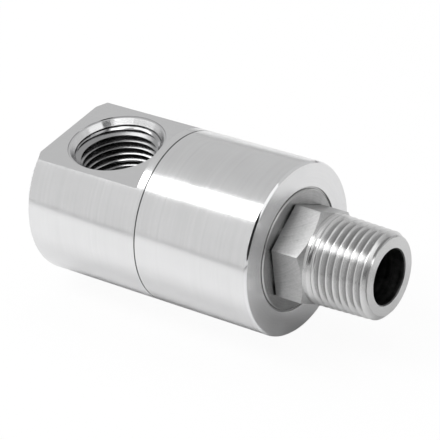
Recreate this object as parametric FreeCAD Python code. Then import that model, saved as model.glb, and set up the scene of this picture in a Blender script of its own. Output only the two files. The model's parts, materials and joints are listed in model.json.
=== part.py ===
import FreeCAD, Part
import math
import os

# Right-angle hydraulic rotary union with half-inch taper pipe threads, in millimetres.
# X is the rotation axis and points out of the rotor's nose. Z points up through the side port.
# X = 0 is the plane that a hand-tight fitting reaches on the nose thread.

# Housing, outside
body_diameter = 42.0
barrel_length = 31.75
rear_length = 33.45
front_edge_chamfer = 0.5
rear_chamfer_depth = 1.7
rear_chamfer_length = 1.5
flat_height = 15.95
flat_lip = 2.25

# Side port, taper pipe thread at its root diameter
port_to_rear = 14.9
port_root_diameter = 21.2
port_thread_length = 12.5
port_mouth_diameter = 23.8
port_drill_diameter = 18.2
port_drill_depth = 21.5
fluid_bore = 13.2

# Mouth of the barrel and the disc that covers it
mouth_diameter = 30.3
mouth_lip = 2.6
shield_gap = 0.5
shield_stand_off = 0.15
shield_chamfer = 0.6

# Rotor
nose_projection = 24.85
gauge_length = 8.13
thread_diameter = 21.2
nose_chamfer = 1.2
hex_across_flats = 21.6
hex_length = 7.65
hex_turn = 33.0
hex_chamfer_angle = 30.0
hex_gap = 0.5
tail_land = 2.2

# Double-row ball bearing
bearing_bore = 20.0
bearing_outside = 32.0
bearing_width = 10.0
bearing_ring_wall = 1.2
inner_ring_stand_off = 0.4
ball_diameter = 3.5
balls_per_row = 10
row_offset = 2.0
ball_sides = 8
cage_wall = 1.0
cage_base = 0.5
cage_finger = 0.8
pocket_clearance = 0.15
dust_seal_thickness = 0.4
dust_seal_inset = 0.1
dust_seal_clearance = 0.05

# Shaft circlip
clip_thickness = 1.1
clip_groove_depth = 0.5
clip_band = 1.6
clip_lug = 1.8
clip_opening = 50.0

# Face seal
seat_wall = 2.2
seat_length = 2.5
film_gap = 0.05
flange_thickness = 3.5
flange_diameter = 24.6
ring_tail_diameter = 18.0
ring_tail_length = 8.0
ring_bore = 13.2
ring_travel = 0.6
slide_clearance = 0.05
floor_gap = 0.3
spring_height = 1.9
spring_wall = 1.3
spring_sheet = 0.3
spring_waves = 3
spring_steps = 24
spring_clearance = 0.15
key_width = 1.5
key_height = 1.4
key_count = 2
key_seating_depth = 2.5
key_clearance = 0.15
key_land = 0.5
packing_wall = 1.6
packing_length = 1.8
backup_length = 0.8
washer_length = 0.6

# Joint between the two halves of the housing
spigot_wall = 2.6
spigot_clearance = 0.05
gasket_wall = 1.4
gasket_length = 1.8

# Small rings and the circlip are many-sided, which keeps them light in facets
ring_sides = 24

X = FreeCAD.Vector(1, 0, 0)
Z = FreeCAD.Vector(0, 0, 1)
ORIGIN = FreeCAD.Vector(0, 0, 0)

# Stations along the axis, from the nose to the rear
nose_end = gauge_length
front_face = nose_end - nose_projection
shield_front = front_face + shield_stand_off
hex_back = shield_front + hex_gap
hex_front = hex_back + hex_length
bearing_front = front_face - mouth_lip
bearing_back = bearing_front - bearing_width
clip_back = bearing_back - clip_thickness
tail_end = clip_back - tail_land
seat_face = tail_end - seat_length
ring_face = seat_face - film_gap
flange_back = ring_face - flange_thickness
cavity_floor = flange_back - ring_travel - floor_gap
washer_front = flange_back - spring_height
packing_front = washer_front - washer_length
packing_back = packing_front - packing_length
backup_back = packing_back - backup_length
ring_end = flange_back - ring_tail_length
ring_bore_end = ring_end - ring_travel - film_gap
seam = front_face - barrel_length
rear_face = seam - rear_length
port_x = rear_face + port_to_rear

# Radii
body_r = body_diameter / 2
mouth_r = mouth_diameter / 2
shield_r = mouth_r - shield_gap
shaft_r = bearing_bore / 2
bearing_r = bearing_outside / 2
inner_land_r = shaft_r + bearing_ring_wall
outer_land_r = bearing_r - bearing_ring_wall
ball_circle_r = (shaft_r + bearing_r) / 2
thread_r = thread_diameter / 2
fluid_r = fluid_bore / 2
ring_bore_r = ring_bore / 2
ring_tail_r = ring_tail_diameter / 2
flange_r = flange_diameter / 2
slide_r = ring_tail_r + slide_clearance
packing_r = slide_r + packing_wall
key_low_r = packing_r + key_land
key_high_r = key_low_r + key_height
spigot_r = bearing_r - spigot_clearance
cavity_r = spigot_r - spigot_wall
gasket_r = spigot_r - gasket_wall
port_root_r = port_root_diameter / 2
port_mouth_r = port_mouth_diameter / 2
port_drill_r = port_drill_diameter / 2


def turned(profile):
    """A lathe-turned solid about the X axis from (x, radius) corners."""
    corners = [FreeCAD.Vector(x, 0, r) for x, r in profile]
    outline = Part.makePolygon(corners + corners[:1])
    return Part.Face(outline).revolve(ORIGIN, X, 360)


def sleeve(back, front, inner_r, outer_r):
    """A plain ring between two stations on the X axis."""
    return turned([(back, inner_r), (front, inner_r), (front, outer_r), (back, outer_r)])


def rod(back, front, radius):
    """A solid round bar between two stations on the X axis."""
    return Part.makeCylinder(radius, front - back, FreeCAD.Vector(back, 0, 0), X)


def block(x_range, y_range, z_range):
    """A box from its three ranges."""
    low = FreeCAD.Vector(x_range[0], y_range[0], z_range[0])
    size = [b - a for a, b in (x_range, y_range, z_range)]
    return Part.makeBox(size[0], size[1], size[2], low)


def prism(sides, flat_radius, back, front, turn):
    """A regular prism about the X axis, sized to the middle of its flats, with a corner at turn degrees."""
    corner_r = flat_radius / math.cos(math.pi / sides)
    angles = [math.radians(turn) + 2 * math.pi * i / sides for i in range(sides + 1)]
    corners = [FreeCAD.Vector(back, -corner_r * math.cos(a), corner_r * math.sin(a)) for a in angles]
    return Part.Face(Part.makePolygon(corners)).extrude(X * (front - back))


def sided_ring(back, front, inner_r, outer_r):
    """A ring of many flats that stays clear of a round wall on either side of it."""
    outer = prism(ring_sides, outer_r * math.cos(math.pi / ring_sides), back, front, 0)
    return outer.cut(prism(ring_sides, inner_r, back, front, 0))


def around(shape, angle):
    """A copy of a shape, turned about the X axis."""
    copy = shape.copy()
    copy.rotate(ORIGIN, X, angle)
    return copy


def port_tool():
    """The space of the side port, pointing up: mouth cone, thread and a flat-bottomed drilling."""
    mouth_depth = port_mouth_r - port_root_r
    root_floor = flat_height - mouth_depth - port_thread_length
    drill_floor = flat_height - port_drill_depth
    half = [
        (0, flat_height),
        (port_mouth_r, flat_height),
        (port_root_r, flat_height - mouth_depth),
        (port_root_r, root_floor),
        (port_drill_r, root_floor),
        (port_drill_r, drill_floor),
        (0, drill_floor),
    ]
    corners = [FreeCAD.Vector(port_x + r, 0, z) for r, z in half]
    outline = Part.makePolygon(corners + corners[:1])
    return Part.Face(outline).revolve(FreeCAD.Vector(port_x, 0, 0), Z, 360)


def rear_housing():
    """The rear half: a round bar with a milled flat, the side port and a hollow spigot for the seal."""
    shell = turned([
        (rear_face, 0),
        (rear_face, body_r - rear_chamfer_depth),
        (rear_face + rear_chamfer_length, body_r),
        (seam, body_r),
        (seam, gasket_r),
        (seam + gasket_length, gasket_r),
        (seam + gasket_length, spigot_r),
        (bearing_back, spigot_r),
        (bearing_back, cavity_r),
        (cavity_floor, cavity_r),
        (cavity_floor, packing_r),
        (backup_back, packing_r),
        (backup_back, slide_r),
        (ring_bore_end, slide_r),
        (ring_bore_end, fluid_r),
        (port_x, fluid_r),
        (port_x, 0),
    ])
    above_flat = block((rear_face, seam - flat_lip), (-body_r, body_r), (flat_height, body_r))
    shell = shell.cut(above_flat).cut(port_tool())
    for key in key_places():
        shell = shell.cut(key)
    return shell


def front_housing():
    """The plain barrel: a mouth lip that holds the bearing in, and one bore for bearing and spigot."""
    return turned([
        (seam, bearing_r),
        (seam, body_r),
        (front_face - front_edge_chamfer, body_r),
        (front_face, body_r - front_edge_chamfer),
        (front_face, mouth_r),
        (bearing_front, mouth_r),
        (bearing_front, bearing_r),
    ])


def housing_gasket():
    """The square-cut ring that keeps dirt out of the joint between the two halves."""
    return sided_ring(seam, seam + gasket_length, gasket_r, bearing_r)


def bearing_outer_ring():
    """The bearing's outer ring, held between the mouth lip and the spigot."""
    return sleeve(bearing_back, bearing_front, outer_land_r, bearing_r)


def bearing_inner_ring():
    """The bearing's inner ring, between the shield and the circlip, a little longer than the outer ring."""
    return sleeve(bearing_back, bearing_front + inner_ring_stand_off, shaft_r, inner_land_r)


def row_middle(side):
    """The station of one row of balls: side is 1 for the front row and -1 for the rear row."""
    return (bearing_front + bearing_back) / 2 + side * row_offset


def solid_from(panels):
    """A closed solid from flat panels, each a list of corners."""
    faces = [Part.Face(Part.makePolygon(panel + panel[:1])) for panel in panels]
    solid = Part.makeSolid(Part.makeShell(faces))
    if solid.Volume < 0:
        solid.reverse()
    return solid


def ball_at(x):
    """One ball at the top of its circle, light in facets: flat bands between rings of few sides."""
    radius = ball_diameter / 2
    rings = []
    for latitude in (-54, -18, 18, 54):
        ring_r = radius * math.cos(math.radians(latitude))
        height = ball_circle_r + radius * math.sin(math.radians(latitude))
        angles = [2 * math.pi * i / ball_sides for i in range(ball_sides)]
        rings.append([FreeCAD.Vector(x + ring_r * math.cos(a), ring_r * math.sin(a), height) for a in angles])
    panels = [rings[0], rings[-1]]
    for low, high in zip(rings, rings[1:]):
        for i in range(ball_sides):
            n = (i + 1) % ball_sides
            panels.append([low[i], low[n], high[n], high[i]])
    return solid_from(panels)


def ball_row(side):
    """A ring of balls."""
    ball = ball_at(row_middle(side))
    step = 360.0 / balls_per_row
    return Part.makeCompound([around(ball, i * step) for i in range(balls_per_row)])


def cage(side):
    """A crown cage: a flat-sided ring with a pocket for each ball, open towards the other row."""
    middle = row_middle(side)
    pocket_r = ball_diameter / 2 + pocket_clearance
    closed_end = middle + side * (pocket_r + cage_base)
    open_end = middle - side * cage_finger
    back, front = sorted((closed_end, open_end))
    sides = 2 * balls_per_row
    inner_r = ball_circle_r - cage_wall / 2
    outer_r = ball_circle_r + cage_wall / 2
    first_corner = 90 - 180.0 / sides
    crown = prism(sides, outer_r, back, front, first_corner)
    crown = crown.cut(prism(sides, inner_r, back, front, first_corner))
    reach = sorted((middle + side * pocket_r, middle - side * ball_diameter))
    pocket = block(reach, (-pocket_r, pocket_r), (inner_r - cage_wall, outer_r + cage_wall))
    step = 360.0 / balls_per_row
    for i in range(balls_per_row):
        crown = crown.cut(around(pocket, i * step))
    return crown


def dust_seal(side):
    """A rubber seal in one end of the bearing, carried by the outer ring."""
    outer_end = (bearing_front + bearing_back) / 2 + side * (bearing_width / 2 - dust_seal_inset)
    back, front = sorted((outer_end, outer_end - side * dust_seal_thickness))
    return sided_ring(back, front, inner_land_r + dust_seal_clearance, outer_land_r)


def rotor():
    """The rotor: threaded nose, wrench hexagon, bearing shaft, circlip groove and the fluid bore."""
    hex_r = hex_across_flats / 2
    corner_r = hex_r / math.cos(math.pi / 6)
    slope = math.tan(math.radians(hex_chamfer_angle))
    chamfer_start = hex_front - (corner_r - hex_r) * slope
    hexagon = prism(6, hex_r, hex_back, hex_front, hex_turn)
    chamfered = turned([
        (hex_back, 0),
        (hex_back, corner_r + 1),
        (chamfer_start - slope, corner_r + 1),
        (hex_front, hex_r),
        (hex_front, 0),
    ])
    hexagon = hexagon.common(chamfered)
    groove_r = shaft_r - clip_groove_depth
    core = turned([
        (tail_end, 0),
        (tail_end, shaft_r),
        (clip_back, shaft_r),
        (clip_back, groove_r),
        (bearing_back, groove_r),
        (bearing_back, shaft_r),
        (hex_front, shaft_r),
        (hex_front, thread_r),
        (nose_end - nose_chamfer, thread_r),
        (nose_end, thread_r - nose_chamfer),
        (nose_end, 0),
    ])
    return core.fuse(hexagon).cut(rod(tail_end, nose_end, fluid_r)).removeSplitter()


def front_shield():
    """The turned disc that covers the bearing, pressed on the shaft: flat, with a chamfered rim."""
    back = bearing_front + inner_ring_stand_off
    return turned([
        (shield_front, shaft_r),
        (shield_front, shield_r - shield_chamfer),
        (shield_front - shield_chamfer, shield_r),
        (back, shield_r),
        (back, shaft_r),
    ])


def shaft_circlip():
    """The open ring in the shaft's groove, with a lug at each end."""
    inner_r = shaft_r - clip_groove_depth
    outer_r = inner_r + clip_band
    ring = sided_ring(clip_back, bearing_back, inner_r, outer_r)
    half = math.radians(clip_opening / 2)
    reach = outer_r + clip_lug
    corners = [(0, 0), (-reach * math.tan(half), -reach), (reach * math.tan(half), -reach)]
    wedge = [FreeCAD.Vector(clip_back, y, z) for y, z in corners]
    ring = ring.cut(Part.Face(Part.makePolygon(wedge + wedge[:1])).extrude(X * clip_thickness))
    lug = block((clip_back, bearing_back), (0, clip_lug), (-inner_r - clip_lug, -inner_r - clip_band / 4))
    lug = around(lug, clip_opening / 2)
    ring = ring.fuse([lug, lug.mirror(ORIGIN, FreeCAD.Vector(0, 1, 0))])
    return ring.removeSplitter()


def rotating_seat():
    """The hard seal ring brazed to the end of the rotor."""
    return sided_ring(seat_face, tail_end, fluid_r, fluid_r + seat_wall)


def floating_ring():
    """The seal ring that the spring holds against the seat, with notches for the keys."""
    ring = turned([
        (ring_face, ring_bore_r),
        (ring_face, flange_r),
        (flange_back, flange_r),
        (flange_back, ring_tail_r),
        (ring_end, ring_tail_r),
        (ring_end, ring_bore_r),
    ])
    half = key_width / 2 + key_clearance
    notch = block((flange_back, ring_face), (-half, half), (key_low_r - key_clearance, key_high_r))
    for i in range(key_count):
        ring = ring.cut(around(notch, 360.0 * i / key_count))
    return ring


def key_places():
    """The keys that stop the floating ring from turning, standing in the floor of the cavity."""
    x_range = (cavity_floor - key_seating_depth, ring_face - ring_travel)
    key = block(x_range, (-key_width / 2, key_width / 2), (key_low_r, key_high_r))
    return [around(key, 360.0 * i / key_count) for i in range(key_count)]


def wave_spring():
    """A waved ring of spring sheet: flat facets between radial edges that rise and fall along the axis."""
    inner_r = slide_r + spring_clearance
    outer_r = inner_r + spring_wall
    swing = (spring_height - spring_sheet) / 2
    middle = (washer_front + flange_back) / 2
    edges = []
    for i in range(spring_steps):
        angle = 2 * math.pi * i / spring_steps
        x = middle + swing * math.cos(spring_waves * angle)
        edge = []
        for side, r in ((-1, inner_r), (-1, outer_r), (1, outer_r), (1, inner_r)):
            y = r * math.sin(angle)
            z = r * math.cos(angle)
            edge.append(FreeCAD.Vector(x + side * spring_sheet / 2, y, z))
        edges.append(edge)
    panels = []
    for i in range(spring_steps):
        here = edges[i]
        there = edges[(i + 1) % spring_steps]
        for k in range(4):
            n = (k + 1) % 4
            panels.append([here[k], here[n], there[n]])
            panels.append([here[k], there[n], there[k]])
    return solid_from(panels)


def seal_packing():
    """The square-cut ring that seals the floating ring's tail."""
    return sided_ring(packing_back, packing_front, slide_r, packing_r)


def spring_washer():
    """The washer between the spring and the packing."""
    return sided_ring(packing_front, washer_front, slide_r, packing_r)


def backup_ring():
    """The hard ring that keeps the packing out of the running gap."""
    return sided_ring(backup_back, packing_back, slide_r, packing_r)


def exported(name, shape):
    """Writes one sub-part and prints its size."""
    shape.exportStep("parts/" + name + ".step")
    print(name, "solids", len(shape.Solids), "volume", round(shape.Volume, 1), "valid", shape.isValid())


os.makedirs("parts", exist_ok=True)
exported("rear_housing", rear_housing())
exported("front_housing", front_housing())
exported("housing_gasket", housing_gasket())
exported("bearing_outer_ring", bearing_outer_ring())
exported("bearing_inner_ring", bearing_inner_ring())
exported("front_ball_row", ball_row(1))
exported("rear_ball_row", ball_row(-1))
exported("front_cage", cage(1))
exported("rear_cage", cage(-1))
exported("front_dust_seal", dust_seal(1))
exported("rear_dust_seal", dust_seal(-1))
exported("rotor", rotor())
exported("front_shield", front_shield())
exported("shaft_circlip", shaft_circlip())
exported("rotating_seat", rotating_seat())
exported("floating_ring", floating_ring())
exported("wave_spring", wave_spring())
exported("anti_rotation_keys", Part.makeCompound(key_places()))
exported("seal_packing", seal_packing())
exported("backup_ring", backup_ring())
exported("spring_washer", spring_washer())
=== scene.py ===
# %% [markdown]
# A hydraulic rotary union in bright steel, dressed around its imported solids.
# A hose screws into the threaded side port, and the threaded nose turns with the machine part that it feeds.
# Each step below says what a piece is on the real union, how it could be made, and why this way was chosen.
# All sizes are in millimetres until a mesh is made. The axis of rotation is X, with the nose at +X.

# %% Frame
import json
import math

import bmesh
import bpy
import numpy as np
from mathutils import Matrix, Vector

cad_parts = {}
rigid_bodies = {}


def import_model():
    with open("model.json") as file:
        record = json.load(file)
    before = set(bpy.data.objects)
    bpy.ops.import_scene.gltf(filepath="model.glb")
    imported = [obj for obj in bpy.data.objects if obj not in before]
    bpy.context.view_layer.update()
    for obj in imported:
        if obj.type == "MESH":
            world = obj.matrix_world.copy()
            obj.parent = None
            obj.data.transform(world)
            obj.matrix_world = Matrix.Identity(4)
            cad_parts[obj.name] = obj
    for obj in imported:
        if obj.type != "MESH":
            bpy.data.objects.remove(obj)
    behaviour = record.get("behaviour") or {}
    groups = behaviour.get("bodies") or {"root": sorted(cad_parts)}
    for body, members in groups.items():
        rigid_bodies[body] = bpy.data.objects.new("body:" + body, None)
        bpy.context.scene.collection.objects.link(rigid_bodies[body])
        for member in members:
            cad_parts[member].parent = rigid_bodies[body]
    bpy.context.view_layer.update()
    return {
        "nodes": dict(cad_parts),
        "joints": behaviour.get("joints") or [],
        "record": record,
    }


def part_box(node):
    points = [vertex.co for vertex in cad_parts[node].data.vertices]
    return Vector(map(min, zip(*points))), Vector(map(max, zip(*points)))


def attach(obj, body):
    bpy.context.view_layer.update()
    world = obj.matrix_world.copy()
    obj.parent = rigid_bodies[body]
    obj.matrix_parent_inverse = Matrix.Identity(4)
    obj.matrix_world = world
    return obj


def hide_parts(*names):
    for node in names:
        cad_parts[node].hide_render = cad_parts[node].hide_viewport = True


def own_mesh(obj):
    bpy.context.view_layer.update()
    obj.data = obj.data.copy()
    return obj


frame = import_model()
MM = 0.001

# %% [markdown]
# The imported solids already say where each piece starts, ends and how wide it is.
# The stations could be typed in again, but then a change of the solids would leave the looks behind.
# So they are read from the boxes of the nodes, and only what the boxes can't say is written as a value.

# %% Stations and radii from the frame
def reach(node_name):
    """The lowest x, the highest x and the radius of a node, in millimetres."""
    low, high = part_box(node_name)
    return low.x / MM, high.x / MM, high.y / MM


mounts = {m["name"]: m for m in frame["record"]["mounts"]}
slot_of = {s["node"]: s["material_slot"] for s in frame["record"]["subparts"]}
body_of = {n: body for body, nodes in frame["record"]["behaviour"]["bodies"].items() for n in nodes}
float_travel = next(j for j in frame["joints"] if j["name"] == "seal_float")["range_m"][1] / MM
seam, front_face, body_r = reach("front_housing")
rear_face, spigot_end, _ = reach("rear_housing")
bearing_back, bearing_front, bearing_r = reach("bearing_outer_ring")
shield_back, shield_front, shield_r = reach("front_shield")
tail_end, nose_end, _ = reach("rotor")
clip_back, clip_front, _ = reach("shaft_circlip")
ring_end, ring_face, _ = reach("floating_ring")
port_x = mounts["port_thread"]["pos_m"][0] / MM
flat_z = mounts["port_flat"]["pos_m"][2] / MM
thread_mean_r = mounts["thread_nose"]["dims"]["r_mm"]
thread_end_gap = 1.2
hex_front = nose_end - thread_end_gap - mounts["thread_nose"]["dims"]["length_mm"]
shaft_r = 10.0
fluid_r = 6.6
shield_rim_r = shield_r - 0.10
mouth_r = shield_rim_r + 0.45
print("barrel from", round(seam, 2), "to", round(front_face, 2), "radius", round(body_r, 2))
print("port at", round(port_x, 2), "flat at", round(flat_z, 2), "hexagon's front at", round(hex_front, 2))

# %% [markdown]
# A turned piece is one outline carried round the axis, as a lathe does it.
# Blender's Screw modifier could do that too, but a grid of points lets the same code bend a row into a
# hexagon or a thread later. So every turned piece is a grid: rows along the outline, columns round the axis.
# Real edges are never razor sharp. A corner with an ease is cut back by that much on both sides and joined by
# a small curve, and it is that curve which catches the light.

# %% Outlines
def eased(corners, steps=4):
    """Corners as (x, radius) or (x, radius, ease). A corner P with an ease e becomes the curve
    (1-t)^2 A + 2t(1-t) P + t^2 B, where A and B lie e away from P on its two sides."""
    found = []
    count = len(corners)
    t = np.linspace(0, 1, steps + 1)[:, None]
    for i, corner in enumerate(corners):
        here = np.array(corner[:2], float)
        if len(corner) == 2:
            found.append(here[None])
            continue
        before = np.array(corners[i - 1][:2], float) - here
        after = np.array(corners[(i + 1) % count][:2], float) - here
        start = here + before / np.linalg.norm(before) * corner[2]
        end = here + after / np.linalg.norm(after) * corner[2]
        found.append((1 - t) ** 2 * start + 2 * t * (1 - t) * here + t ** 2 * end)
    return np.concatenate(found)


def swept(rows, angle):
    """A grid of points (x, r cos A, r sin A), from rows that give (x, r) at the angle A of each column."""
    return np.stack([rows[..., 0], rows[..., 1] * np.cos(angle), rows[..., 1] * np.sin(angle)], -1)


def turned(outline, columns):
    """A swept grid whose rows are circles: one for each point of the outline. The last column falls on the
    first, a full turn later."""
    outline = np.asarray(outline, float)
    angle = np.linspace(0, 2 * np.pi, columns + 1)
    return swept(np.broadcast_to(outline[:, None], (len(outline), columns + 1, 2)), angle)


print("an eased corner has", len(eased([(0, 1), (1, 1, 0.1), (1, 0)])) - 2, "points")

# %% [markdown]
# A grid becomes a mesh in three steps. Neighbouring rows and columns are joined by four-sided faces, points
# that fall together are welded, and faces that the weld has squeezed flat are dropped or left as triangles.
# The volume inside then tells which way the faces point: if it is negative, they are all turned round.
# Blender takes the faces as one list of corners and the places in it where each face starts.
# Doing all this with whole arrays keeps even a long thread quick.

# %% From grid to mesh
WELD = 1e-5


def quads_of(grid):
    """Faces between neighbouring rows and columns, with the last row joined to the first, and their rows."""
    rows, columns = grid.shape[:2]
    i, j = np.meshgrid(np.arange(rows), np.arange(columns - 1), indexing="ij")
    n = (i + 1) % rows
    faces = np.stack([i * columns + j, i * columns + j + 1, n * columns + j + 1, n * columns + j], -1)
    return faces.reshape(-1, 4), i.ravel()


def welded(points, faces):
    """Rounds the points to a fine lattice and gives equal ones one number. A face with one repeated corner
    becomes a triangle, marked by -1 in its last place, and a face with more repeats is left out."""
    key = np.round(points / WELD).astype(np.int64)
    _, first, number = np.unique(key, axis=0, return_index=True, return_inverse=True)
    faces = number.ravel()[faces]
    repeat = faces == np.roll(faces, -1, axis=1)
    turn = np.where(repeat.any(1), repeat.argmax(1) + 1, 0)
    order = (turn[:, None] + np.arange(4)) % 4
    faces = np.take_along_axis(faces, order, axis=1)
    triangle = repeat.sum(1) == 1
    crossed = (faces[:, 0] == faces[:, 2]) | ((faces[:, 1] == faces[:, 3]) & ~triangle)
    faces[triangle, 3] = -1
    keep = (repeat.sum(1) < 2) & ~crossed
    return points[first], faces[keep], keep


def volume_of(points, faces):
    """The signed volume: the sum of a . (b x c) / 6 over triangles abc, with each quad as two triangles."""
    a, b, c = (points[faces[:, k]] for k in range(3))
    total = np.einsum("ij,ij->i", a, np.cross(b, c)).sum()
    four = faces[:, 3] >= 0
    d = points[faces[four, 3]]
    total += np.einsum("ij,ij->i", a[four], np.cross(c[four], d)).sum()
    return total / 6


def mesh_from(grids, finish_rows=None):
    """A closed mesh from closed grids, in metres. finish_rows gives the finish number of each grid's rows."""
    points, faces, finishes, offset = [], [], [], 0
    for g, grid in enumerate(grids):
        quads, row = quads_of(grid)
        points.append(grid.reshape(-1, 3))
        faces.append(quads + offset)
        finishes.append(np.zeros(len(quads), int) if finish_rows is None else np.asarray(finish_rows[g])[row])
        offset += grid.shape[0] * grid.shape[1]
    points, faces, keep = welded(np.concatenate(points), np.concatenate(faces))
    finish = np.concatenate(finishes)[keep]
    four = faces[:, 3] >= 0
    if volume_of(points, faces) < 0:
        faces[four] = faces[four][:, ::-1]
        faces[~four, :3] = faces[~four, :3][:, ::-1]
    corners = faces[faces >= 0]
    starts = np.cumsum(3 + four) - (3 + four)
    mesh = bpy.data.meshes.new("grid")
    mesh.vertices.add(len(points))
    mesh.vertices.foreach_set("co", (points * MM).astype(np.float32).ravel())
    mesh.loops.add(len(corners))
    mesh.loops.foreach_set("vertex_index", corners.astype(np.int32))
    mesh.polygons.add(len(faces))
    mesh.polygons.foreach_set("loop_start", starts.astype(np.int32))
    mesh.polygons.foreach_set("material_index", finish.astype(np.int32))
    mesh.update(calc_edges=True)
    return mesh


def piece_from(name, mesh, node_name, materials, sharp=28.0):
    """A piece of the object: smooth shaded with crisp edges, on the body of the node that it stands for."""
    mesh.name = name
    mesh.polygons.foreach_set("use_smooth", np.ones(len(mesh.polygons), bool))
    mesh.set_sharp_from_angle(angle=math.radians(sharp))
    piece = bpy.data.objects.new(name, mesh)
    bpy.context.scene.collection.objects.link(piece)
    if not mesh.materials:
        for material in materials:
            mesh.materials.append(material)
    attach(piece, body_of[node_name])
    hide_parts(node_name)
    places = np.empty(3 * len(mesh.vertices), np.float32)
    mesh.vertices.foreach_get("co", places)
    places = places.reshape(-1, 3) / MM
    print(name, "faces", len(mesh.polygons), "from", places.min(0).round(2), "to", places.max(0).round(2))
    return piece


print("points closer than", WELD, "mm are welded")

# %% [markdown]
# Turned steel is covered with fine rings that the tool leaves behind.
# They can't be seen one by one, but together they smear every reflection across themselves, which is why a
# turned face shows light as spokes and a turned bar shows it as long bands.
# A picture of rings would only paint that. Here the shader does it: its reflections are stretched at right
# angles to a direction that runs round the axis, and a faint bump and tint follow the same rings.

# %% Shader helpers
def new_material(name, colour, roughness, metallic=1.0):
    """A material with its shader's plain values set. Gives the material, its node tree and its shader."""
    material = bpy.data.materials.new(name)
    material.use_nodes = True
    tree = material.node_tree
    shader = tree.nodes["Principled BSDF"]
    shader.inputs["Base Color"].default_value = (*colour, 1)
    shader.inputs["Roughness"].default_value = roughness
    shader.inputs["Metallic"].default_value = metallic
    return material, tree, shader


def node(tree, kind, values=None, links=None, **settings):
    """Adds one node, sets its options and plain inputs, and links its other inputs."""
    made = tree.nodes.new("ShaderNode" + kind)
    for key, value in settings.items():
        setattr(made, key, value)
    for key, value in (values or {}).items():
        made.inputs[key].default_value = value
    for key, source in (links or {}).items():
        tree.links.new(source, made.inputs[key])
    return made


def math_of(tree, operation, *terms):
    """One math node: numbers are set on it and sockets are linked to it."""
    numbers = {k: term for k, term in enumerate(terms) if isinstance(term, (int, float))}
    sockets = {k: term for k, term in enumerate(terms) if k not in numbers}
    return node(tree, "Math", numbers, sockets, operation=operation).outputs[0]


def noise_of(tree, place, scale, detail, roughness=0.5):
    """A noise value that changes with a place."""
    values = {"Scale": scale, "Detail": detail, "Roughness": roughness}
    return node(tree, "TexNoise", values, {"Vector": place}).outputs["Fac"]


def mapped(tree, value, from_low, from_high, low, high):
    """A value's way from one number to another, turned into the way from low to high and held there."""
    values = {"From Min": from_low, "From Max": from_high, "To Min": low, "To Max": high}
    return node(tree, "MapRange", values, {"Value": value}).outputs["Result"]


def spread(tree, noise, low, high):
    """Maps the band in which a noise mostly lies, 0.3 to 0.7, to a range from low to high."""
    return mapped(tree, noise, 0.3, 0.7, low, high)


def tinted(tree, shader, factor):
    """Multiplies the base colour, plain or already linked, by a factor."""
    base = shader.inputs["Base Color"]
    scale = node(tree, "VectorMath", {0: base.default_value[:3]}, {"Scale": factor}, operation="SCALE")
    if base.links:
        tree.links.new(base.links[0].from_socket, scale.inputs[0])
    tree.links.new(scale.outputs[0], base)


def bumped(tree, shader, height, micron):
    """Links a bump whose full height is given in thousandths of a millimetre."""
    bump = node(tree, "Bump", {"Distance": micron * 1e-6, "Strength": 1.0}, {"Height": height})
    tree.links.new(bump.outputs[0], shader.inputs["Normal"])


print("shader helpers ready, with", bpy.app.version_string)

# %% [markdown]
# For rings, a point needs two things: its distance from the axis and its place along it. Noise that changes
# only with those two is the same all the way round, and so it draws rings.
# The cross product of the axis and the point gives the third thing, the direction round the axis.

# %% Turned steel
STREAKS_PER_MM = 1.5
CLOUD_SHARE = 0.4
GLOSSIEST, DULLEST = 0.75, 1.3


def round_axis(tree, centre=(0, 0, 0), axis="X"):
    """The direction round an axis at each point, for the shader's tangent, then the point's distance from the
    axis, its place along the axis and the point itself, all seen from the centre."""
    line = {"X": (1, 0, 0), "Z": (0, 0, 1)}[axis]
    flat = [1 - part for part in line]
    place = node(tree, "TexCoord").outputs["Object"]
    centre = [part * MM for part in centre]
    moved = node(tree, "VectorMath", {1: centre}, {0: place}, operation="SUBTRACT").outputs[0]
    across = node(tree, "VectorMath", {1: flat}, {0: moved}, operation="MULTIPLY").outputs[0]
    radius = node(tree, "VectorMath", links={0: across}, operation="LENGTH").outputs["Value"]
    turn = node(tree, "VectorMath", {0: line}, {1: moved}, operation="CROSS_PRODUCT").outputs[0]
    world = node(tree, "VectorTransform", links={0: turn},
                 vector_type="VECTOR", convert_from="OBJECT", convert_to="WORLD").outputs[0]
    tangent = node(tree, "VectorMath", links={0: world}, operation="NORMALIZE").outputs[0]
    along = node(tree, "SeparateXYZ", links={0: moved}).outputs[line.index(1)]
    return tangent, radius, along, moved


def ring_noise(tree, along, radius, per_mm, detail, seed):
    """Noise that changes along the axis and outwards but not round the axis, so that it draws rings."""
    spot = node(tree, "CombineXYZ", {2: seed}, {0: along, 1: radius}).outputs[0]
    return noise_of(tree, spot, per_mm / MM, detail, 0.6)


def turned_steel(name, colour, roughness, stretch, ring_mm=6.0, ring_micron=0.6, tint=0.04,
                 centre=(0, 0, 0), axis="X", cloud_scale=150.0):
    """Steel with rings round an axis: stretched reflections, ring bump, and a tint and gloss that change with
    streaks along the rings and with a soft cloud."""
    material, tree, shader = new_material(name, colour, roughness)
    tangent, radius, along, place = round_axis(tree, centre, axis)
    tree.links.new(tangent, shader.inputs["Tangent"])
    shader.inputs["Anisotropic"].default_value = stretch
    shader.inputs["Anisotropic Rotation"].default_value = 0.25
    rings = ring_noise(tree, along, radius, ring_mm, 3.0, 0.0)
    streaks = ring_noise(tree, along, radius, STREAKS_PER_MM, 5.0, 4.0)
    cloud = noise_of(tree, place, cloud_scale, 5.0)
    mixed = math_of(tree, "MULTIPLY_ADD", cloud, CLOUD_SHARE,
                    math_of(tree, "MULTIPLY", streaks, 1 - CLOUD_SHARE))
    tinted(tree, shader, spread(tree, mixed, 1 - tint, 1 + tint / 2))
    gloss = spread(tree, mixed, roughness * GLOSSIEST, roughness * DULLEST)
    tree.links.new(gloss, shader.inputs["Roughness"])
    bumped(tree, shader, rings, ring_micron)
    return material


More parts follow.
